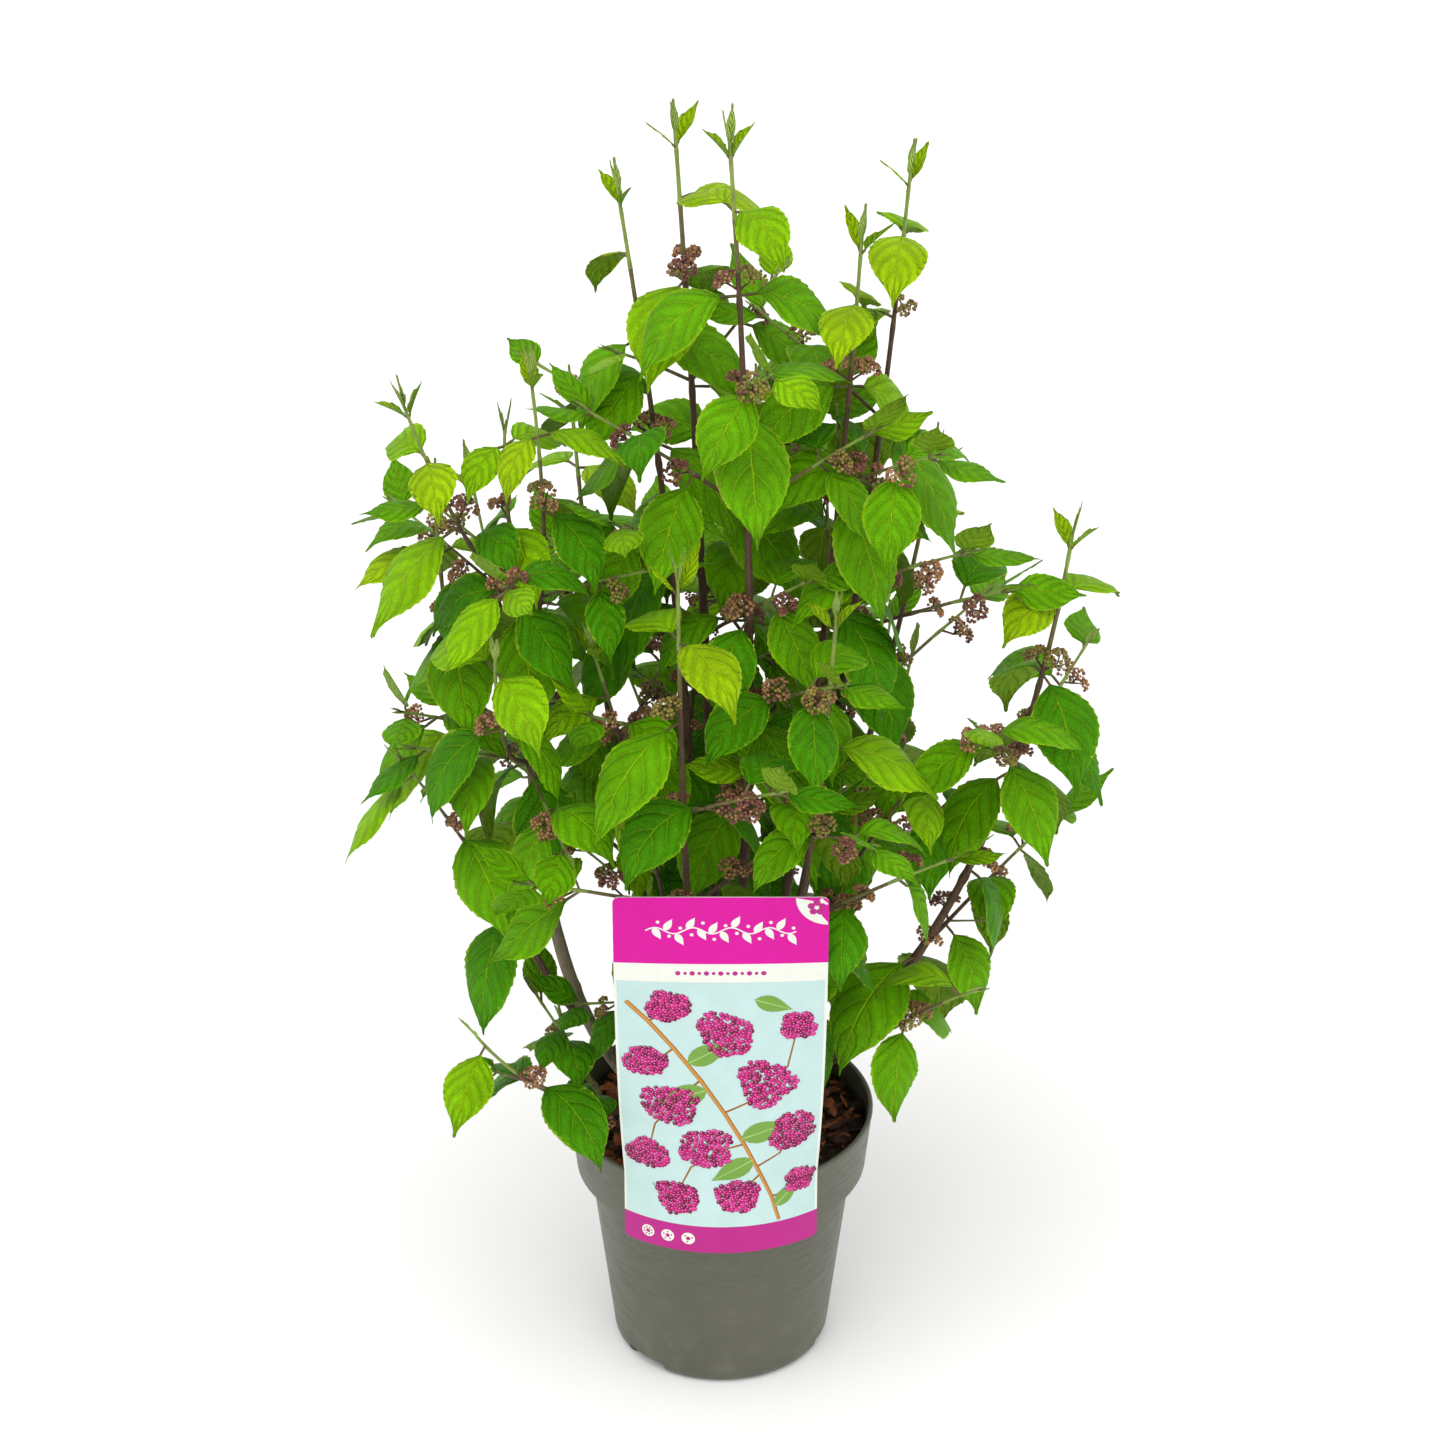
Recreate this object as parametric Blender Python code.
# Potted beautyberry shrub: nursery pot, bark-topped soil, picture label,
# a root crown with bare canes, and the leafy masses that the canes carry.
# Metres, +Z up, the underside of the pot at z = 0, the label at -Y.

import math
import random

import bmesh
import bpy
from mathutils import Matrix, Vector
from mathutils.bvhtree import BVHTree

GAP = 0.0003
UP = Vector((0.0, 0.0, 1.0))
FRONT = Vector((0.0, -1.0, 0.0))

# Pot
POT_HEIGHT = 0.168
RIM_RADIUS = 0.095
COLLAR_HEIGHT = 0.041
COLLAR_FOOT_RADIUS = 0.0905
WALL_TOP_RADIUS = 0.0822
BASE_RADIUS = 0.068
CORNER_RADIUS = 0.008
WALL = 0.0018
LIP = 0.003
POT_SIDES = 36
NOTCH_HEIGHT = 0.006
NOTCH_SPREAD = math.radians(26)
NOTCH_ANGLES = [math.radians(a) for a in (-45, 75, 195)]

# Soil
SOIL_TOP = 0.155
SOIL_SIDES = 18
BUMP = 0.0012
BUMPS_FROM = 0.060
BUMPS_TO = 0.088

# Label card, wrapped round the rim at its foot and flat at its top
CARD_WIDTH = 0.126
CARD_FOOT = 0.121
CARD_TOP = 0.382
CARD_THICKNESS = 0.0008
CARD_CORNER = 0.004
CARD_LEAN = 0.063
CARD_COLUMNS = 8
TAB_WIDTH = 0.014
TAB_ANGLE = math.radians(24.5)
TAB_THICKNESS = 0.0007
TAB_END = 0.159
TAB_SLANT = 0.0010

# Root crown
CROWN_RADIUS = 0.033
CROWN_HEIGHT = 0.022
CROWN_LOBES = 5
CROWN_LOBE_DEPTH = 0.0035
CROWN_FOOT = SOIL_TOP + GAP

# Growth
NODE_GAPS = [0.010, 0.030, 0.050, 0.066, 0.070, 0.068, 0.064, 0.060, 0.056]
NODE_LEAVES = [0.030, 0.062, 0.080, 0.088, 0.090, 0.086, 0.080, 0.074, 0.068]
TWIG_GAPS = [0.006, 0.030, 0.036, 0.038]
TWIG_LEAVES = [0.046, 0.064, 0.070, 0.066]
TWIGS_FROM = 3
TWIG_LENGTH = 0.052
TWIG_LONGER = 0.014
TWIG_RADIUS = 0.0014
TWIG_TIP_RADIUS = 0.0008
MAIN_HEADS = 0.45
TWIG_HEADS = 0.16
TIP_ROOM = 0.004
TWIG_FOOT_ROOM = 0.018
LEAF_WIDTH = 0.48
LEAF_STEPS = 12
LEAF_DEPTH = 0.014
LARGE_LEAF_CUTS = (0.34, 0.68)
SMALL_LEAF_CUTS = (0.42,)
SMALL_LEAF = 0.066
PETIOLE = 0.0005
FULLER = 1.1
NUDGE = 0.00003
UNION_TRIES = 8
WELD = 0.000001
FLAT = math.radians(0.2)
FATTER = {3: 1.35, 4: 1.2, 6: 1.05}
CLEARANCE = 0.0007
HEAD_RADIUS = 0.0085
AXIL = 0.0028
HEAD_STALK = 0.015
TRIES = 7

# The crown's outline as a standing viewer sees it from the front: where the
# eye is, how far the crown reaches to the left and to the right at each
# height, and its openings, each as its centre and its half sizes in X and Z
EYE_BACK = 2.309
EYE_UP = 1.6965
REACH_FOOT = 0.15
REACH_STEP = 0.03
REACH_MARGIN = 0.004
REACH_LEFT = [
    0.169, 0.205, 0.194, 0.159, 0.153, 0.170, 0.246, 0.232, 0.212, 0.196, 0.198, 0.201,
    0.207, 0.218, 0.212, 0.200, 0.212, 0.120, 0.119, 0.107, 0.079, 0.062, 0.045]
REACH_RIGHT = [
    0.125, 0.127, 0.141, 0.162, 0.166, 0.180, 0.225, 0.224, 0.237, 0.229, 0.216, 0.231,
    0.235, 0.224, 0.202, 0.156, 0.162, 0.185, 0.154, 0.118, 0.130, 0.124, 0.110]
OPENINGS = [
    (0.053, 0.756, 0.016, 0.042), (0.133, 0.480, 0.024, 0.059), (-0.144, 0.632, 0.028, 0.019),
    (0.134, 0.661, 0.024, 0.009), (-0.086, 0.688, 0.020, 0.019), (-0.045, 0.743, 0.010, 0.027),
    (-0.074, 0.307, 0.016, 0.037), (-0.126, 0.161, 0.026, 0.013), (0.100, 0.304, 0.017, 0.026),
    (0.140, 0.306, 0.013, 0.021), (-0.129, 0.235, 0.011, 0.026), (-0.045, 0.449, 0.017, 0.015),
    (-0.182, 0.351, 0.029, 0.013)]

# Bare canes and boughs: foot, pull and tip of one curve each, the radius at
# the foot and at the tip, and how much of the curve the bare limb takes.
# What a cane has past that is the stem of its own leafy mass.
CANES = {
    "cane_left_pruned": dict(
        foot=(-0.023, -0.004, 0.16), pull=(-0.125, -0.016, 0.219),
        tip=(-0.111, -0.02, 0.535), radii=(0.0046, 0.0032), bare=1.0),
    "cane_outer_left": dict(
        on="cane_left_pruned", foot=(-0.072, -0.01, 0.226), pull=(-0.158, 0.002, 0.318),
        tip=(-0.166, 0.0, 0.59), radii=(0.0026, 0.001), bare=0.3, phase=18, twigs=0.5,
        vigour=1.01, seed=297, nudged=1),
    "cane_top_left": dict(
        foot=(-0.0155, 0.007, 0.16), pull=(-0.004, 0.012, 0.4),
        tip=(-0.0581, 0.02, 0.7684), radii=(0.004, 0.001), bare=0.33, phase=155,
        turns=[39, -10, 89, 48], twigs=0.68, vigour=1.0, seed=9),
    "cane_tallest": dict(
        foot=(-0.002, 0.008, 0.16), pull=(-0.004, 0.04, 0.45), tip=(-0.0257, 0.03, 0.8),
        radii=(0.0042, 0.0011), bare=0.33, phase=35, turns=[135, 110, 170, 128, 81],
        twigs=0.57, vigour=1.04, seed=900),
    "cane_top_middle": dict(
        foot=(0.001, -0.006, 0.16), pull=(0.03, -0.034, 0.45), tip=(0.0049, -0.03, 0.8162),
        radii=(0.0042, 0.0011), bare=0.36, phase=38, turns=[100, 42, 93, 15, 80],
        twigs=0.64, vigour=1.01, seed=875),
    "cane_inner_right": dict(
        foot=(0.012, 0.001, 0.16), pull=(0.06, -0.012, 0.4), tip=(0.079, -0.01, 0.752),
        radii=(0.0038, 0.001), bare=0.35, phase=55, turns=[57, 164, 99, 31], twigs=0.53,
        vigour=1.02, seed=612),
    "cane_top_right": dict(
        foot=(0.0195, 0.011, 0.16), pull=(0.078, 0.036, 0.4), tip=(0.1073, 0.03, 0.777),
        radii=(0.004, 0.001), bare=0.35, phase=134, turns=[120, -9, 32, 50, 86],
        twigs=0.57, vigour=1.06, seed=321),
    "cane_arching_right": dict(
        foot=(0.0235, -0.005, 0.16), pull=(0.172, -0.012, 0.29),
        tip=(0.204, -0.008, 0.566), radii=(0.004, 0.0011), bare=0.36, phase=56, twigs=0.79,
        vigour=1.08, seed=456),
    "cane_front_left": dict(
        foot=(-0.01, -0.017, 0.16), pull=(-0.022, -0.085, 0.33),
        tip=(-0.0243, -0.088, 0.5773), radii=(0.0036, 0.001), bare=0.42, phase=127,
        twigs=0.66, vigour=1.12, seed=598),
    "cane_front_right": dict(
        foot=(0.0105, -0.0175, 0.16), pull=(0.052, -0.08, 0.32),
        tip=(0.0653, -0.092, 0.5564), radii=(0.0036, 0.001), bare=0.42, phase=99,
        twigs=0.41, vigour=0.97, seed=424),
    "cane_back_left": dict(
        foot=(-0.016, 0.019, 0.16), pull=(-0.07, 0.07, 0.33), tip=(-0.0901, 0.12, 0.5926),
        radii=(0.0036, 0.001), bare=0.36, phase=130, twigs=0.53, vigour=1.07, seed=650),
    "cane_back_middle": dict(
        foot=(-0.001, 0.022, 0.16), pull=(0.012, 0.09, 0.33), tip=(0.022, 0.14, 0.59),
        radii=(0.0036, 0.001), bare=0.36, phase=138, twigs=0.58, vigour=1.04, seed=124),
    "cane_back_right": dict(
        foot=(0.012, 0.0225, 0.16), pull=(0.09, 0.075, 0.33), tip=(0.1298, 0.11, 0.5601),
        radii=(0.0036, 0.001), bare=0.36, phase=58, twigs=0.61, vigour=0.98, seed=282),
}

# Leafy side shoots: the cane each one leaves, where along that cane, the
# curve's pull and tip, and how leafy and how vigorous it is.
SHOOTS = {
    "shoot_left_leader": dict(
        on="cane_left_pruned", along=0.985, pull=(-0.126, -0.02, 0.58),
        tip=(-0.1231, -0.02, 0.6384), radii=(0.0016, 0.0009), phase=129, twigs=0.0,
        vigour=0.87, pinched=1, seed=408),
    "shoot_left_high": dict(
        on="cane_left_pruned", along=0.955, pull=(-0.15, -0.03, 0.565),
        tip=(-0.178, -0.05, 0.668), radii=(0.0016, 0.0009), phase=108, twigs=0.47,
        vigour=0.99, seed=818),
    "shoot_left_inner": dict(
        on="cane_left_pruned", along=0.915, pull=(-0.095, -0.038, 0.56),
        tip=(-0.1063, -0.05, 0.6857), radii=(0.0016, 0.0009), phase=12, twigs=0.7,
        vigour=0.96, seed=236),
    "shoot_left_front": dict(
        on="cane_left_pruned", along=0.72, pull=(-0.13, -0.07, 0.44),
        tip=(-0.128, -0.095, 0.53), radii=(0.0014, 0.0009), phase=30, twigs=0.26,
        vigour=1.07, pinched=1, seed=117),
    "shoot_left_back": dict(
        on="cane_left_pruned", along=0.8, pull=(-0.13, 0.05, 0.47),
        tip=(-0.15, 0.085, 0.56), radii=(0.0014, 0.0009), phase=101, twigs=0.31,
        vigour=1.01, seed=681),
    "shoot_inner_low": dict(
        on="cane_left_pruned", along=0.6, pull=(-0.085, -0.032, 0.365),
        tip=(-0.0499, -0.04, 0.3887), radii=(0.0013, 0.0009), phase=175, twigs=0.08,
        vigour=0.93, pinched=1, seed=417),
    "shoot_low_left": dict(
        on="root_crown", start=(-0.02442, -0.01439, 0.16735), pull=(-0.105, -0.058, 0.192),
        tip=(-0.146, -0.081, 0.268), radii=(0.002, 0.0009), phase=137, twigs=0.66,
        vigour=1.0, pinched=1, seed=929),
    "shoot_low_right": dict(
        on="cane_arching_right", along=0.3, pull=(0.135, -0.04, 0.27),
        tip=(0.149, -0.06, 0.2854), radii=(0.0013, 0.0009), phase=67, twigs=0.62,
        vigour=0.98, pinched=1, seed=482),
    "shoot_outer_left": dict(
        on="cane_outer_left", along=0.28, pull=(-0.15, -0.03, 0.375),
        tip=(-0.1859, -0.046, 0.4351), radii=(0.0013, 0.0009), phase=129, twigs=0.73,
        vigour=1.12, pinched=1, seed=230),
    "shoot_inner_left": dict(
        on="cane_top_left", along=0.3, pull=(-0.055, -0.022, 0.43),
        tip=(-0.0749, -0.042, 0.5104), radii=(0.0014, 0.0009), phase=27, twigs=0.6,
        vigour=0.89, seed=57),
    "shoot_inner_right": dict(
        on="cane_inner_right", along=0.33, pull=(0.095, -0.03, 0.4),
        tip=(0.123, -0.034, 0.4212), radii=(0.0014, 0.0009), phase=174, twigs=0.3,
        vigour=0.92, pinched=1, seed=932),
    "shoot_back_low": dict(
        on="cane_back_middle", along=0.3, pull=(-0.03, 0.13, 0.33),
        tip=(-0.0633, 0.165, 0.3948), radii=(0.0014, 0.0009), phase=34, twigs=0.13,
        vigour=1.0, pinched=1, seed=882),
    "shoot_back_right": dict(
        on="cane_back_right", along=0.3, pull=(0.1, 0.11, 0.31),
        tip=(0.1206, 0.155, 0.404), radii=(0.0014, 0.0009), phase=45, twigs=0.52,
        vigour=0.87, pinched=1, seed=420),
}

# Colour, roughness and metallic value of each material
FINISHES = {
    "pot_plastic": ((0.127, 0.133, 0.100), 0.42, 0.0),
    "bark_mulch": ((0.040, 0.017, 0.007), 0.90, 0.0),
    "card": ((0.620, 0.080, 0.360), 0.35, 0.0),
    "grey_bark": ((0.190, 0.150, 0.110), 0.85, 0.0),
    "young_bark": ((0.080, 0.035, 0.022), 0.65, 0.0),
    "foliage": ((0.060, 0.230, 0.012), 0.50, 0.0),
}


def clear_scene():
    for item in list(bpy.data.objects):
        bpy.data.objects.remove(item, do_unlink=True)


def make_material(name):
    colour, roughness, metallic = FINISHES[name]
    material = bpy.data.materials.new(name)
    material.use_nodes = True
    shader = material.node_tree.nodes["Principled BSDF"]
    shader.inputs["Base Color"].default_value = (*colour, 1.0)
    shader.inputs["Roughness"].default_value = roughness
    shader.inputs["Metallic"].default_value = metallic
    return material


def flat_faces(faces):
    # Splits four-sided faces, which may be twisted, into flat triangles.
    flat = []
    for face in faces:
        if len(face) == 4:
            a, b, c, d = face
            flat += [(a, b, c), (a, c, d)]
        else:
            flat.append(face)
    return flat


def make_object(name, points, faces, material=None):
    mesh = bpy.data.meshes.new(name)
    mesh.from_pydata([tuple(p) for p in points], [], flat_faces(faces))
    mesh.update()
    made = bpy.data.objects.new(name, mesh)
    bpy.context.scene.collection.objects.link(made)
    if material:
        mesh.materials.append(material)
    return made


def make_piece(points, faces):
    mesh = bpy.data.meshes.new("piece")
    mesh.from_pydata([tuple(p) for p in points], [], flat_faces(faces))
    return bpy.data.objects.new("piece", mesh)


def apply_boolean(target, operation, cutter=None, group=None, solver="EXACT"):
    modifier = target.modifiers.new("join", "BOOLEAN")
    modifier.operation = operation
    modifier.solver = solver
    if group:
        modifier.operand_type = "COLLECTION"
        modifier.collection = group
    else:
        modifier.object = cutter
    bpy.context.view_layer.objects.active = target
    bpy.ops.object.modifier_apply(modifier=modifier.name)


def remove_object(item):
    mesh = item.data
    bpy.data.objects.remove(item, do_unlink=True)
    bpy.data.meshes.remove(mesh)


def keep_largest_body(target, ngon_method="BEAUTY"):
    # Drops any loose scrap that a cut left, and merges facets in one plane.
    shape = bmesh.new()
    shape.from_mesh(target.data)
    left = set(shape.faces)
    bodies = []
    while left:
        body = []
        queue = [left.pop()]
        while queue:
            face = queue.pop()
            body.append(face)
            for edge in face.edges:
                for other in edge.link_faces:
                    if other in left:
                        left.discard(other)
                        queue.append(other)
        bodies.append(body)
    largest = max(bodies, key=len)
    scraps = [face for body in bodies if body is not largest for face in body]
    bmesh.ops.delete(shape, geom=scraps, context="FACES")
    bmesh.ops.dissolve_limit(shape, angle_limit=FLAT, verts=shape.verts, edges=shape.edges)
    bmesh.ops.triangulate(shape, faces=shape.faces, ngon_method=ngon_method)
    shape.to_mesh(target.data)
    shape.free()


def weak_spot(target):
    # The place of an edge that hasn't two faces, also once points that all
    # but touch are merged, or None on a sound body.
    shape = bmesh.new()
    shape.from_mesh(target.data)
    spot = None
    for merge in (False, True):
        if merge:
            bmesh.ops.remove_doubles(shape, verts=shape.verts, dist=WELD)
        weak = [edge for edge in shape.edges if not edge.is_manifold]
        if weak and spot is None:
            spot = weak[0].verts[0].co.copy()
    shape.free()
    return spot


# Turned and wrapped shapes

def turned(name, profile, sides, material):
    # A closed body of revolution; the profile runs from axis to axis.
    points = []
    faces = []
    rings = []
    for radius, height in profile:
        if radius == 0.0:
            rings.append([len(points)])
            points.append((0.0, 0.0, height))
            continue
        rings.append(list(range(len(points), len(points) + sides)))
        for side in range(sides):
            turn = 2 * math.pi * side / sides
            points.append((radius * math.sin(turn), -radius * math.cos(turn), height))
    for lower, upper in zip(rings, rings[1:]):
        for side in range(sides):
            after = (side + 1) % sides
            if len(lower) == 1:
                faces.append((lower[0], upper[after], upper[side]))
            elif len(upper) == 1:
                faces.append((lower[side], lower[after], upper[0]))
            else:
                faces.append((lower[side], lower[after], upper[after], upper[side]))
    return make_object(name, points, faces, material)


def pot_profile():
    collar_foot = POT_HEIGHT - COLLAR_HEIGHT
    lean = WALL_TOP_RADIUS - BASE_RADIUS
    profile = [(0.0, 0.0), (BASE_RADIUS - CORNER_RADIUS, 0.0)]
    for step in range(1, 4):
        turn = math.radians(30 * step)
        radius = BASE_RADIUS - CORNER_RADIUS * (1 - math.sin(turn))
        profile.append((radius, CORNER_RADIUS * (1 - math.cos(turn))))
    inner_base = BASE_RADIUS - WALL + lean * CORNER_RADIUS / collar_foot
    profile += [
        (WALL_TOP_RADIUS, collar_foot - 0.0005),
        (COLLAR_FOOT_RADIUS - 0.0008, collar_foot - 0.0005),
        (COLLAR_FOOT_RADIUS, collar_foot + 0.0005),
        (RIM_RADIUS - 0.0004, POT_HEIGHT - LIP),
        (RIM_RADIUS, POT_HEIGHT - 0.0022),
        (RIM_RADIUS - 0.0001, POT_HEIGHT - 0.0008),
        (RIM_RADIUS - 0.0008, POT_HEIGHT),
        (RIM_RADIUS - LIP + 0.0005, POT_HEIGHT),
        (RIM_RADIUS - LIP, POT_HEIGHT - 0.0008),
        (RIM_RADIUS - LIP, POT_HEIGHT - LIP),
        (COLLAR_FOOT_RADIUS - WALL, collar_foot + WALL + 0.0005),
        (WALL_TOP_RADIUS - WALL, collar_foot + WALL),
        (inner_base, CORNER_RADIUS + 0.002),
        (BASE_RADIUS - CORNER_RADIUS, WALL + 0.0004),
        (0.0, WALL + 0.0004),
    ]
    return profile


def build_pot(material):
    pot = turned("pot", pot_profile(), POT_SIDES, material)
    for angle in NOTCH_ANGLES:
        reach = BASE_RADIUS + 0.01
        inside = BASE_RADIUS - CORNER_RADIUS + 0.001
        corners = []
        for height in (-0.002, NOTCH_HEIGHT):
            for radius, turn in (
                    (inside, -0.5), (reach, -0.5), (reach, 0.5), (inside, 0.5)):
                way = angle + turn * NOTCH_SPREAD
                corners.append((radius * math.sin(way), -radius * math.cos(way), height))
        faces = [(3, 2, 1, 0), (4, 5, 6, 7), (0, 1, 5, 4),
                 (1, 2, 6, 5), (2, 3, 7, 6), (3, 0, 4, 7)]
        cutter = make_object("notch", corners, faces)
        apply_boolean(pot, "DIFFERENCE", cutter=cutter)
        remove_object(cutter)
    keep_largest_body(pot)
    return pot


def soil_profile():
    collar_foot = POT_HEIGHT - COLLAR_HEIGHT
    lean = WALL_TOP_RADIUS - BASE_RADIUS
    inner_base = BASE_RADIUS - WALL + lean * CORNER_RADIUS / collar_foot
    return [
        (0.0, WALL + 0.0004 + GAP),
        (BASE_RADIUS - CORNER_RADIUS - GAP, WALL + 0.0004 + GAP),
        (inner_base - GAP, CORNER_RADIUS + 0.0024),
        (WALL_TOP_RADIUS - WALL - GAP, collar_foot + WALL + GAP),
        (COLLAR_FOOT_RADIUS - WALL - GAP, collar_foot + WALL + 0.0012),
        (RIM_RADIUS - LIP - 0.0016, SOIL_TOP - 0.0035),
        (0.084, SOIL_TOP - 0.0008),
        (0.070, SOIL_TOP),
        (0.056, SOIL_TOP),
        (0.0, SOIL_TOP),
    ]


def build_soil(material):
    soil = turned("bark_topped_soil", soil_profile(), SOIL_SIDES, material)
    rng = random.Random(5)
    for vertex in soil.data.vertices:
        radius = math.hypot(vertex.co.x, vertex.co.y)
        if BUMPS_FROM < radius < BUMPS_TO and vertex.co.z > SOIL_TOP - 2 * BUMP:
            vertex.co.z += rng.uniform(-BUMP, BUMP)
    keep_largest_body(soil)
    return soil


def card_point(across, height, offset):
    # A place on the card: across from -1 to 1 of its width, a height, and an
    # offset from its middle layer, outwards being positive.
    wrap = 1.0 - max(0.0, height - POT_HEIGHT) / (CARD_TOP - POT_HEIGHT)
    middle = RIM_RADIUS + 2 * GAP + CARD_THICKNESS / 2
    bend = max(wrap, 0.02) ** 1.5 / middle
    forward = middle + CARD_LEAN * max(0.0, height - POT_HEIGHT)
    angle = across * CARD_WIDTH / 2 * bend
    radius = 1 / bend
    x = (radius + offset) * math.sin(angle)
    y = -forward + radius - (radius + offset) * math.cos(angle)
    return Vector((x, y, height))


def card_half_width(height):
    inset = min(height - CARD_FOOT, CARD_TOP - height)
    if inset >= CARD_CORNER:
        return 1.0
    drop = CARD_CORNER - math.sqrt(CARD_CORNER ** 2 - (CARD_CORNER - inset) ** 2)
    return 1.0 - drop / (CARD_WIDTH / 2)


def build_card(material):
    heights = [CARD_FOOT, CARD_FOOT + 0.3 * CARD_CORNER, CARD_FOOT + CARD_CORNER]
    heights += [0.145, POT_HEIGHT, 0.200, 0.235, 0.275, 0.325]
    heights += [CARD_TOP - h for h in (CARD_CORNER, 0.3 * CARD_CORNER, 0.0)]
    points = []
    faces = []
    row = CARD_COLUMNS + 1
    for offset in (CARD_THICKNESS / 2, -CARD_THICKNESS / 2):
        for height in heights:
            half = card_half_width(height)
            for column in range(row):
                across = half * (2 * column / CARD_COLUMNS - 1)
                points.append(card_point(across, height, offset))
    layer = row * len(heights)
    last = len(heights) - 1
    for level in range(last):
        for column in range(CARD_COLUMNS):
            a = level * row + column
            faces.append((a, a + 1, a + row + 1, a + row))
            faces.append((layer + a, layer + a + row, layer + a + row + 1, layer + a + 1))
        left = level * row
        right = left + CARD_COLUMNS
        faces.append((left, left + row, layer + left + row, layer + left))
        faces.append((right, layer + right, layer + right + row, right + row))
    for column in range(CARD_COLUMNS):
        top = last * row + column
        faces.append((column, layer + column, layer + column + 1, column + 1))
        faces.append((top, top + 1, layer + top + 1, layer + top))
    card = make_object("plant_label", points, faces, material)
    for side in (-1, 1):
        tab = build_tab(side * TAB_ANGLE)
        apply_boolean(card, "UNION", cutter=tab)
        remove_object(tab)
    keep_largest_body(card)
    return card


def build_tab(angle):
    # One tongue of the card, over the rim and down inside the pot.
    half = TAB_THICKNESS / 2
    over = POT_HEIGHT + GAP + half
    inside = (RIM_RADIUS - LIP) * math.cos(math.pi / POT_SIDES) - 2 * GAP - half
    route = [(RIM_RADIUS + 0.0011, over), (inside + 0.0008, over),
             (inside, over - 0.0008), (inside - TAB_SLANT, TAB_END)]
    normals = [(0, 1), (-0.38, 0.92), (-0.92, 0.38), (-1, 0)]
    outward = Vector((math.sin(angle), -math.cos(angle), 0.0))
    sideways = Vector((math.cos(angle), math.sin(angle), 0.0))
    points = []
    for (radius, height), (n_out, n_up) in zip(route, normals):
        for layer in (half, -half):
            for side in (-0.5, 0.5):
                place = outward * (radius + n_out * layer) + sideways * (side * TAB_WIDTH)
                points.append(place + UP * (height + n_up * layer))
    faces = [(0, 2, 3, 1)]
    for step in range(len(route) - 1):
        a = 4 * step
        faces.append((a, a + 1, a + 5, a + 4))
        faces.append((a + 1, a + 3, a + 7, a + 5))
        faces.append((a + 3, a + 2, a + 6, a + 7))
        faces.append((a + 2, a, a + 4, a + 6))
    end = 4 * (len(route) - 1)
    faces.append((end, end + 1, end + 3, end + 2))
    tab = make_object("tab", points, faces)
    shape = bmesh.new()
    shape.from_mesh(tab.data)
    bmesh.ops.recalc_face_normals(shape, faces=shape.faces)
    shape.to_mesh(tab.data)
    shape.free()
    return tab


# Stems

class Stem:
    # A tapering line of points that twigs and leaves can be set on.
    def __init__(self, points, radius, tip_radius):
        self.points = points
        self.radius = radius
        self.tip_radius = tip_radius
        self.marks = [0.0]
        for one, two in zip(points, points[1:]):
            self.marks.append(self.marks[-1] + (two - one).length)
        self.length = self.marks[-1]

    def at(self, distance):
        distance = min(max(distance, 0.0), self.length)
        step = 0
        while step < len(self.marks) - 2 and self.marks[step + 1] < distance:
            step += 1
        span = self.marks[step + 1] - self.marks[step]
        part = (distance - self.marks[step]) / span
        place = self.points[step].lerp(self.points[step + 1], part)
        along = (self.points[step + 1] - self.points[step]).normalized()
        share = distance / self.length
        return place, along, self.radius + (self.tip_radius - self.radius) * share


def curve_points(foot, pull, tip, first, last, count):
    foot, pull, tip = Vector(foot), Vector(pull), Vector(tip)
    points = []
    for step in range(count + 1):
        t = first + (last - first) * step / count
        points.append(foot * (1 - t) ** 2 + pull * (2 * t * (1 - t)) + tip * t ** 2)
    return points


def across_stem(along, reference):
    first = (reference - along * reference.dot(along)).normalized()
    return first, along.cross(first)


def tube(stem, sides, cut=None, pointed=False, flare=0.0):
    # A closed tapering tube. A cut is a plane, as a point and a normal, that
    # the first ring is slid on to.
    points = []
    faces = []
    reference = FRONT if abs(stem.at(0)[1].dot(FRONT)) < 0.9 else UP
    for step, place in enumerate(stem.points):
        before = stem.points[max(step - 1, 0)]
        after = stem.points[min(step + 1, len(stem.points) - 1)]
        along = (after - before).normalized()
        first, second = across_stem(along, reference)
        share = stem.marks[step] / stem.length
        radius = stem.radius + (stem.tip_radius - stem.radius) * share
        radius *= 1 + flare * math.exp(-stem.marks[step] / 0.012)
        radius *= FATTER[sides]
        for side in range(sides):
            turn = 2 * math.pi * side / sides
            point = place + (first * math.cos(turn) + second * math.sin(turn)) * radius
            if step == 0 and cut:
                spot, normal = cut
                point += along * ((spot - point).dot(normal) / along.dot(normal))
            points.append(point)
    for step in range(len(stem.points) - 1):
        for side in range(sides):
            a = step * sides + side
            b = step * sides + (side + 1) % sides
            faces.append((a, b, b + sides, a + sides))
    faces.append(tuple(range(sides - 1, -1, -1)))
    top = (len(stem.points) - 1) * sides
    if pointed:
        points.append(stem.points[-1] + along * stem.tip_radius * 2.5)
        for side in range(sides):
            faces.append((top + side, top + (side + 1) % sides, len(points) - 1))
    else:
        faces.append(tuple(range(top, top + sides)))
    return points, faces


# Leaves and flower heads

def leaf_outline(s):
    # Half of an egg-shaped leaf's width, 1 at its widest.
    return 4.338 * s ** 0.85 * (1 - s) ** 1.35


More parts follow.
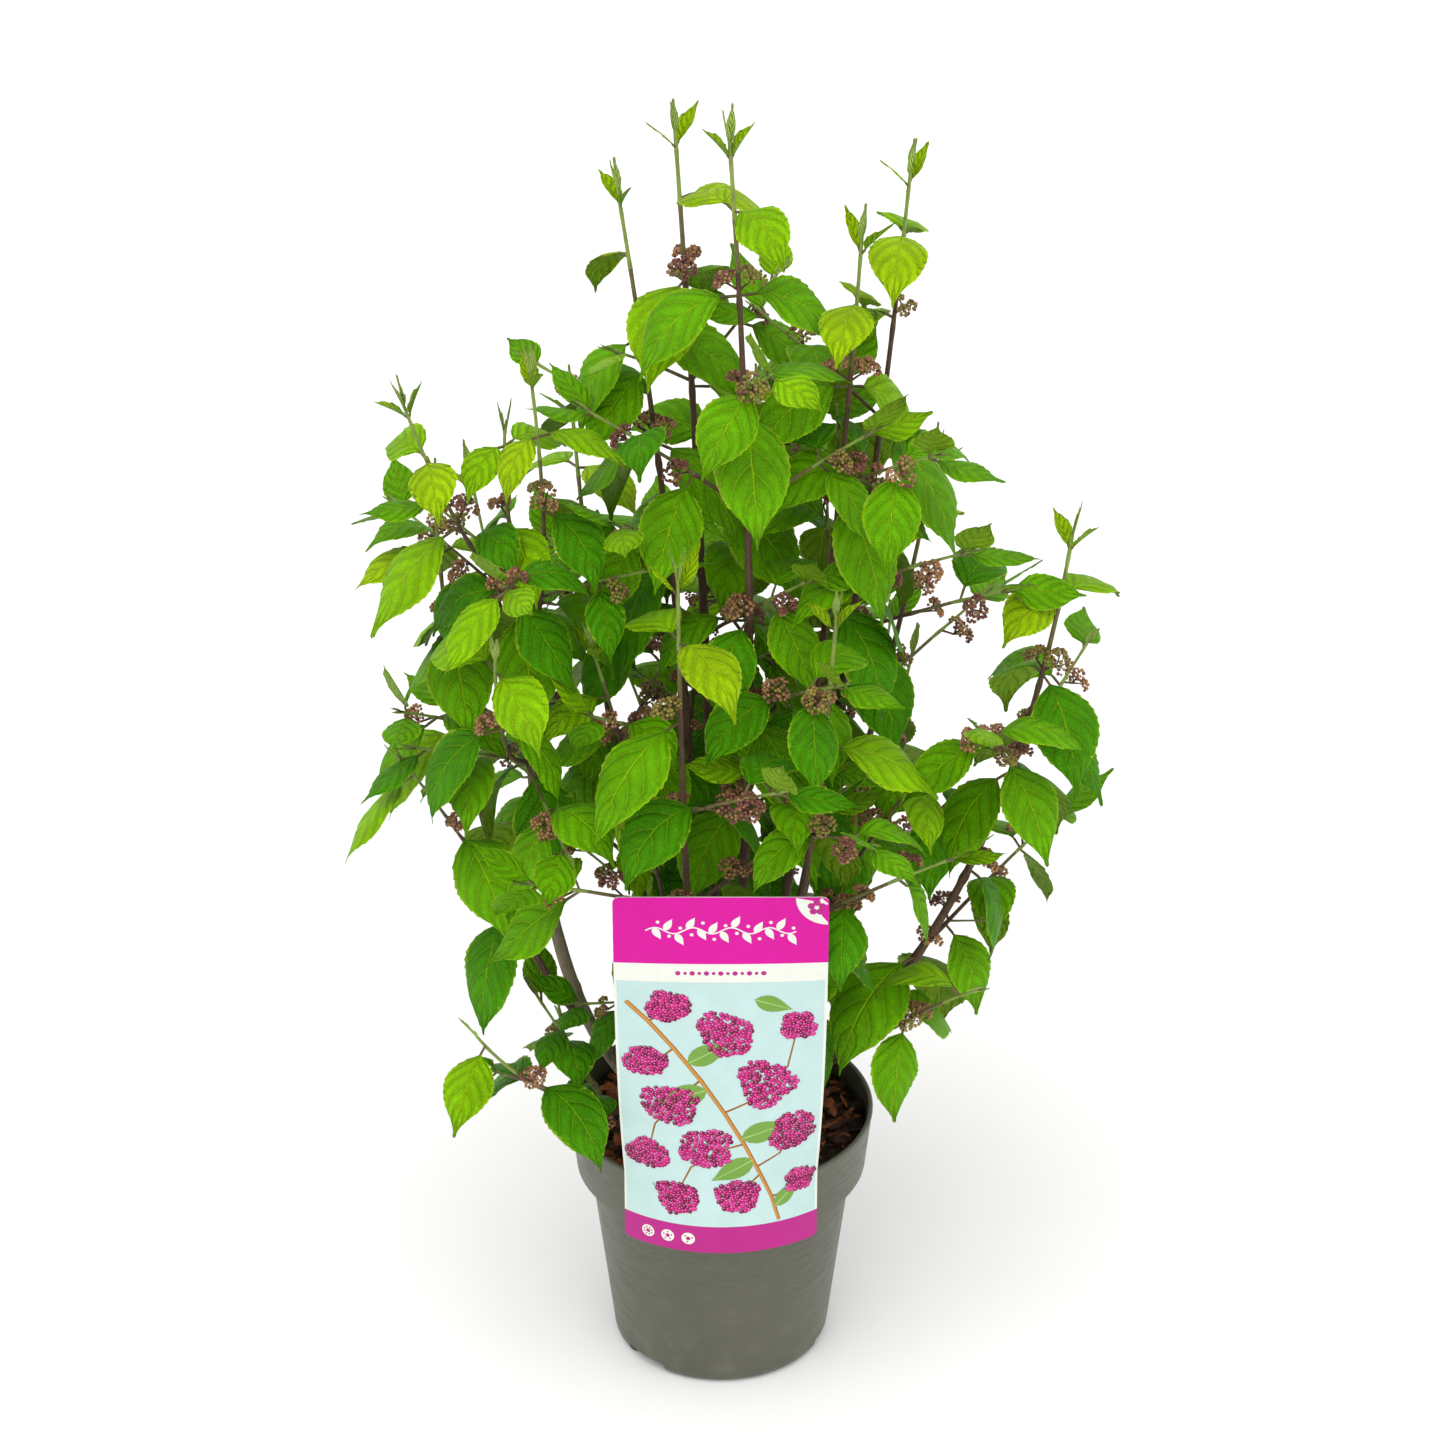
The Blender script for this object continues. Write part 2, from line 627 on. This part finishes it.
def make_leaf(root, start, length, rise, fall, roll):
    # A leaf's middle line, in the upright plane through start: it climbs at
    # rise and bends down to fall, both as angles above the level.
    heading = Vector((start.x, start.y, 0.0))
    if heading.length < 0.05:
        heading = Vector((start.x + 0.05, start.y - 0.05, 0.0))
    heading.normalize()
    line = [root.copy()]
    for step in range(LEAF_STEPS):
        s = (step + 0.5) / LEAF_STEPS
        tilt = rise + (fall - rise) * s ** 0.8
        way = heading * math.cos(tilt) + UP * math.sin(tilt)
        line.append(line[-1] + way * (length / LEAF_STEPS))
    side = heading.cross(UP)
    return dict(line=line, side=side, length=length, roll=roll, width=length * LEAF_WIDTH)


def leaf_frame(leaf, s):
    spot = min(s * LEAF_STEPS, LEAF_STEPS - 0.001)
    step = int(spot)
    place = leaf["line"][step].lerp(leaf["line"][step + 1], spot - step)
    way = (leaf["line"][step + 1] - leaf["line"][step]).normalized()
    side = Matrix.Rotation(leaf["roll"] * min(1.0, s * 3), 3, way) @ leaf["side"]
    return place, side, side.cross(way)


def leaf_solid(leaf, swell=0.0, begin=0.0):
    # A keeled blade: a root triangle, one or two sections and a point.
    points = []
    depth = leaf["length"] * LEAF_DEPTH + swell
    cuts = SMALL_LEAF_CUTS if leaf["length"] < SMALL_LEAF else LARGE_LEAF_CUTS
    for s in (begin, *cuts):
        place, side, face = leaf_frame(leaf, s)
        half = low = PETIOLE + swell
        if s != begin:
            half = leaf["width"] / 2 * FULLER * leaf_outline(s) + swell
            low = depth
        points.append(place + side * half + face * swell)
        points.append(place - side * half + face * swell)
        points.append(place - face * low)
    points.append(leaf["line"][-1] + (leaf["line"][-1] - leaf["line"][-2]).normalized() * swell)
    faces = [(0, 1, 2)]
    for a in range(0, len(points) - 4, 3):
        faces.append((a, a + 3, a + 4, a + 1))
        faces.append((a + 1, a + 4, a + 5, a + 2))
        faces.append((a + 2, a + 5, a + 3, a))
    end = len(points) - 1
    faces += [(end - 3, end, end - 2), (end - 2, end, end - 1), (end - 1, end, end - 3)]
    return points, faces


def in_outline(place):
    # Whether a place, seen from the eye, falls within the crown's outline.
    nearer = EYE_BACK / (EYE_BACK + place.y)
    x = place.x * nearer
    z = EYE_UP + (place.z - EYE_UP) * nearer
    row = min(max((z - REACH_FOOT) / REACH_STEP, 0.0), len(REACH_LEFT) - 1.001)
    part = row - int(row)
    table = REACH_LEFT if x < 0 else REACH_RIGHT
    reach = table[int(row)] * (1 - part) + table[int(row) + 1] * part
    if abs(x) > reach + REACH_MARGIN:
        return False
    return all(((x - cx) / a) ** 2 + ((z - cz) / b) ** 2 > 1 for cx, cz, a, b in OPENINGS)


def leaf_in_outline(leaf):
    place, side, face = leaf_frame(leaf, 0.45)
    half = side * leaf["width"] * 0.4
    middle = leaf_frame(leaf, 0.7)[0]
    return all(in_outline(p) for p in (place, place + half, place - half, middle, leaf["line"][-1]))


def head_solid(root, way, stalk, radius, swell=0.0):
    # A flower head: a funnel of fine stalks under a low domed top.
    lean = (way + UP).normalized()
    first, second = across_stem(way, UP if abs(way.dot(UP)) < 0.9 else FRONT)
    heart = root + way * stalk
    points = []
    for side in range(3):
        turn = 2 * math.pi * side / 3
        across = first * math.cos(turn) + second * math.sin(turn)
        points.append(root + across * (PETIOLE + swell))
    first, second = across_stem(lean, first)
    for side in range(3):
        turn = 2 * math.pi * side / 3
        across = first * math.cos(turn) + second * math.sin(turn)
        points.append(heart + across * (radius + swell))
    points.append(heart + lean * (radius * 0.6 + swell))
    faces = [(2, 1, 0), (3, 4, 6), (4, 5, 6), (5, 3, 6)]
    faces += [(0, 1, 4, 3), (1, 2, 5, 4), (2, 0, 3, 5)]
    return points, faces


# Keeping each piece in a space of its own

class Space:
    def __init__(self):
        self.taken = []

    def shape(self, points, faces):
        low = Vector([min(p[i] for p in points) for i in range(3)])
        high = Vector([max(p[i] for p in points) for i in range(3)])
        return low, high, BVHTree.FromPolygons(points, faces)

    def free(self, shape, ignore=()):
        low, high, tree = shape
        for number, (other_low, other_high, other) in enumerate(self.taken):
            if number in ignore:
                continue
            if any(low[i] > other_high[i] or other_low[i] > high[i] for i in range(3)):
                continue
            if tree.overlap(other):
                return False
        return True

    def take(self, shape):
        self.taken.append(shape)
        return len(self.taken) - 1


def swollen(stem, first=0.0):
    # A slightly fatter copy of a stem, for testing what is near it.
    points = [stem.at(first)[0]]
    points += [p for p, mark in zip(stem.points, stem.marks) if mark > first + 0.001]
    fatter = Stem(points, stem.radius * 1.2 + CLEARANCE, stem.tip_radius * 1.2 + CLEARANCE)
    return tube(fatter, 4, pointed=True)


class Mass:
    # One leafy mass: its main stem, its twigs, leaves and flower heads.
    def __init__(self, name, stem, plan, cut):
        self.name = name
        self.stem = stem
        self.plan = plan
        self.cut = cut
        self.rng = random.Random(plan["seed"])
        self.pinched = plan.get("pinched", 0)
        self.gaps = NODE_GAPS[:1] + NODE_GAPS[self.pinched + 1:]
        self.sizes = NODE_LEAVES[self.pinched:]
        self.pieces = []
        self.twigs = []


def pair_turn(plan, phase, order, main):
    # The way a pair of leaves faces, in degrees round its stem from the front.
    turns = plan.get("turns", []) if main else []
    if order < len(turns):
        return turns[order]
    return phase + 90 * order


def grow_twigs(mass, space, number):
    # Side twigs leave the main stem from its fourth pair of leaves down.
    gone = 0.0
    for order, gap in enumerate(mass.gaps):
        gone += gap * (0.75 + 0.25 * mass.plan["vigour"])
        if gone > mass.stem.length - 0.006:
            break
        place, along, radius = mass.stem.at(mass.stem.length - gone)
        first, second = across_stem(along, FRONT)
        for side in (0, 1):
            turn = math.radians(pair_turn(mass.plan, mass.plan["phase"], order, True))
            turn += math.pi * side + mass.rng.uniform(-0.2, 0.2)
            chance = mass.rng.random()
            reach = mass.rng.uniform(0.75, 1.1)
            if order + mass.pinched < TWIGS_FROM or chance > mass.plan["twigs"]:
                continue
            for attempt in range(TRIES):
                bend = (attempt + 1) // 2 * 0.3 * (-1) ** attempt
                outward = first * math.cos(turn + bend) + second * math.sin(turn + bend)
                start = (outward * 0.80 + along * 0.60).normalized()
                length = (TWIG_LENGTH + TWIG_LONGER * min(order, 6)) * reach * mass.plan["vigour"]
                length *= 1 - 0.06 * attempt
                base = place + along * AXIL
                middle = base + start * length * 0.5
                tip = middle + (start + Vector((0, 0, -0.12))).normalized() * length * 0.5
                points = curve_points(base, middle, tip, 0.0, 1.0, 3)
                twig = Stem(points, min(radius * 0.62, TWIG_RADIUS), TWIG_TIP_RADIUS)
                shape = space.shape(*swollen(twig, 0.008))
                if in_outline(points[-1]) and space.free(shape, ignore={number}):
                    whole = space.shape(*swollen(twig, 0.002))
                    mass.twigs.append((twig, order, side, space.take(whole)))
                    break


def add_leaf(mass, space, ignore, number, root, radius, along, outward, length, age, main):
    # Old leaves leave their twig at a wider angle and hang lower.
    rng = mass.rng
    reach = rng.uniform(0.9, 1.08)
    tip_up = 0.85 if age == 0 else 0.62 - 0.26 * min(age, 3)
    rise_less = rng.uniform(-0.12, 0.12)
    drop = rng.uniform(-0.2, 0.2)
    roll = rng.uniform(-0.35, 0.35)
    outlook = Vector((root.x, root.y, 0.0)) + FRONT * 0.08
    turn_out = 0.40 * outlook.normalized().dot(outward.cross(UP))
    swing = rng.uniform(-0.18, 0.18)
    for attempt in range(TRIES):
        bend = swing + (attempt + 1) // 2 * 0.22 * (-1) ** attempt
        spun = Matrix.Rotation(bend, 3, along) @ outward
        start = (spun * (1 - 0.5 * tip_up) + along * tip_up).normalized()
        rise = math.asin(max(-0.9, min(0.95, start.z))) + rise_less
        if age == 0:
            fall = rise - 0.15 + drop
        else:
            fall = -0.75 - 0.22 * min(age, 3) + drop - 0.1 * attempt
        fall = min(fall, rise)
        sunk = root + start * radius * 0.25
        leaf = make_leaf(sunk, start, length * reach * (1 - 0.03 * attempt), rise, fall,
                         roll + turn_out)
        if not leaf_in_outline(leaf):
            continue
        neck = space.shape(*leaf_solid(leaf, CLEARANCE, 0.06))
        blade = space.shape(*leaf_solid(leaf, CLEARANCE, 0.17))
        if space.free(neck, ignore) and space.free(blade, ignore - {number}):
            leaf["inner"] = not main and age > 0
            mass.pieces.append(("leaf", leaf))
            return space.take(neck)
    return None


def dress_stem(mass, space, stem, number, gaps, sizes, scale, reference, phase, main):
    # Leaves stand in pairs, each pair a quarter turn from the one before.
    rng = mass.rng
    gone = 0.0
    for order, gap in enumerate(gaps):
        gone += gap * (0.75 + 0.25 * scale)
        if gone > stem.length - (TIP_ROOM if main else TWIG_FOOT_ROOM):
            break
        place, along, radius = stem.at(stem.length - gone)
        first, second = across_stem(along, reference)
        ignore = {number}
        for side in (0, 1):
            turn = math.radians(pair_turn(mass.plan, phase, order, main) + 180 * side)
            outward = first * math.cos(turn) + second * math.sin(turn)
            twigs = [t for t in mass.twigs if main and t[1] == order and t[2] == side]
            ignore.update(t[3] for t in twigs)
            size = sizes[order] * scale
            age = order + (mass.pinched if main else 0)
            kept = add_leaf(mass, space, ignore, number, place, radius, along, outward, size,
                            age, main)
            if kept is not None:
                ignore.add(kept)
            wanted = rng.random() < (MAIN_HEADS if main else TWIG_HEADS)
            if wanted and not twigs and age >= (2 if main else 1):
                kept = add_head(mass, space, ignore, place + along * AXIL, along, outward, rng)
                if kept is not None:
                    ignore.add(kept)


def add_head(mass, space, ignore, root, along, outward, rng):
    stalk = HEAD_STALK * rng.uniform(0.85, 1.2)
    radius = HEAD_RADIUS * rng.uniform(0.8, 1.15)
    for lift in (0.75, 0.5, 1.0):
        way = (outward + along * lift).normalized()
        shape = space.shape(*head_solid(root, way, stalk, radius, CLEARANCE))
        if space.free(shape, ignore):
            mass.pieces.append(("head", (root, way, stalk, radius)))
            return space.take(shape)
    return None


def fuse_mass(mass, material):
    # Joins a mass into one body. Where a union isn't sound, the pieces are
    # nudged by hundredths of a millimetre and joined again, and from the
    # third try on the piece rooted nearest to the weak spot is left out.
    solids = [tube(twig, 3, pointed=True) for twig, order, side, number in mass.twigs]
    for kind, piece in mass.pieces:
        if kind == "head":
            solids.append(head_solid(*piece))
        elif not piece["inner"]:
            solids.append(leaf_solid(piece))
    rng = random.Random(len(solids))
    first = mass.plan.get("nudged", 0)
    for attempt in range(first, first + UNION_TRIES):
        body = make_object(mass.name, *tube(mass.stem, 3, cut=mass.cut, pointed=True), material)
        group = bpy.data.collections.new("pieces")
        for points, faces in solids:
            nudge = Vector([rng.uniform(-NUDGE, NUDGE) * attempt for axis in range(3)])
            group.objects.link(make_piece([p + nudge for p in points], faces))
        apply_boolean(body, "UNION", group=group, solver="MANIFOLD")
        for item in list(group.objects):
            remove_object(item)
        bpy.data.collections.remove(group)
        keep_largest_body(body, "EAR_CLIP" if attempt % 2 else "BEAUTY")
        spot = weak_spot(body)
        if spot is None or attempt == first + UNION_TRIES - 1:
            return body
        if attempt > first:
            solids.remove(min(solids, key=lambda solid: (solid[0][0] - spot).length))
        remove_object(body)


# Root crown and canes

def crown_shape(grow=0.0, foot=CROWN_FOOT):
    points = []
    faces = []
    rings = 5
    sides = 15
    for ring in range(rings):
        lift = math.radians(90 * ring / rings)
        for side in range(sides):
            turn = 2 * math.pi * side / sides
            lobe = CROWN_LOBE_DEPTH * math.cos(CROWN_LOBES * turn + 0.6) * math.cos(lift)
            radius = (CROWN_RADIUS + lobe) * math.cos(lift) + grow
            height = CROWN_FOOT + (CROWN_HEIGHT + grow) * math.sin(lift)
            if ring == 0:
                height = foot
            points.append((radius * math.sin(turn), -radius * math.cos(turn), height))
    points.append((0.0, 0.0, CROWN_FOOT + CROWN_HEIGHT + grow))
    for ring in range(rings - 1):
        for side in range(sides):
            a = ring * sides + side
            b = ring * sides + (side + 1) % sides
            faces.append((a, b, b + sides, a + sides))
    top = (rings - 1) * sides
    for side in range(sides):
        faces.append((top + side, top + (side + 1) % sides, len(points) - 1))
    faces.append(tuple(range(sides - 1, -1, -1)))
    return points, faces


def snug_start(parent, distance, toward, radius):
    # Where a shoot begins on a limb's side: its first point just outside the
    # bark, and the plane, level with the bark, that its end is cut to.
    place, along, parent_radius = parent.at(distance)
    way = (toward - place).normalized()
    normal = (way - along * way.dot(along)).normalized()
    spot = place + normal * (parent_radius + GAP)
    start = place + way * ((parent_radius + GAP) / way.dot(normal))
    return start, (spot, normal)


def curve_of(plan, first=0.0, last=1.0, count=8):
    return curve_points(plan["foot"], plan["pull"], plan["tip"], first, last, count)


def radius_at(plan, t):
    return plan["radii"][0] + (plan["radii"][1] - plan["radii"][0]) * t


def build_canes(space, masses, bark, young_bark):
    # Bare limbs first, so that everything that grows later keeps off them.
    limbs = {}
    for name, plan in CANES.items():
        plan = dict(plan)
        cut = None
        parent = plan.get("on")
        if parent:
            stem = limbs[parent]
            nearest = min(range(101), key=lambda k: (
                stem.at(stem.length * k / 100)[0] - Vector(plan["foot"])).length)
            distance = stem.length * nearest / 100
            start, cut = snug_start(stem, distance, Vector(plan["pull"]), plan["radii"][0])
            plan["foot"] = tuple(start)
        bare = plan["bare"]
        limb = Stem(curve_of(plan, 0.0, bare, 6 if bare < 1.0 else 9),
                    plan["radii"][0], radius_at(plan, bare))
        points, faces = tube(limb, 6, cut=cut, flare=0.0 if parent else 0.35)
        cane = make_object(name, points, faces, bark if bare == 1.0 else young_bark)
        if not parent:
            cutter = make_object("crown_space", *crown_shape(GAP, foot=CROWN_FOOT - GAP))
            apply_boolean(cane, "DIFFERENCE", cutter=cutter)
            remove_object(cutter)
        keep_largest_body(cane)
        limbs[name] = limb
        space.take(space.shape(*swollen(limb)))
        if bare < 1.0:
            stem = Stem(curve_of(plan, bare, 1.0, 8), radius_at(plan, bare), plan["radii"][1])
            first, along, radius = stem.at(0.0)
            masses.append(Mass(name.replace("cane", "leaves"), stem, plan,
                               (first + along * GAP, along)))
    return limbs


def build_shoots(limbs, masses):
    for name, plan in SHOOTS.items():
        plan = dict(plan)
        if plan["on"] == "root_crown":
            start = Vector(plan["start"])
            way = (Vector(plan["pull"]) - start).normalized()
            cut = (start, way)
        else:
            parent = limbs[plan["on"]]
            distance = parent.length * plan["along"]
            start, cut = snug_start(parent, distance, Vector(plan["pull"]), plan["radii"][0])
        plan["foot"] = tuple(start)
        stem = Stem(curve_of(plan, 0.0, 1.0, 6), *plan["radii"])
        masses.append(Mass(name, stem, plan, cut))


def build():
    clear_scene()
    materials = {name: make_material(name) for name in FINISHES}
    solids = [build_pot(materials["pot_plastic"]), build_soil(materials["bark_mulch"]),
              build_card(materials["card"]),
              make_object("root_crown", *crown_shape(), materials["grey_bark"])]
    space = Space()
    for solid in solids:
        points = [v.co.copy() for v in solid.data.vertices]
        space.take(space.shape(points, [tuple(p.vertices) for p in solid.data.polygons]))
    masses = []
    limbs = build_canes(space, masses, materials["grey_bark"], materials["young_bark"])
    build_shoots(limbs, masses)
    numbers = [space.take(space.shape(*swollen(mass.stem, 0.004))) for mass in masses]
    for mass, number in zip(masses, numbers):
        grow_twigs(mass, space, number)
        vigour = mass.plan["vigour"]
        dress_stem(mass, space, mass.stem, number, mass.gaps, mass.sizes, vigour,
                   FRONT, mass.plan["phase"], True)
        for twig, order, side, twig_number in mass.twigs:
            dress_stem(mass, space, twig, twig_number, TWIG_GAPS, TWIG_LEAVES,
                       vigour, UP, 45 + 20 * side, False)
    for mass in masses:
        fuse_mass(mass, materials["foliage"])


build()
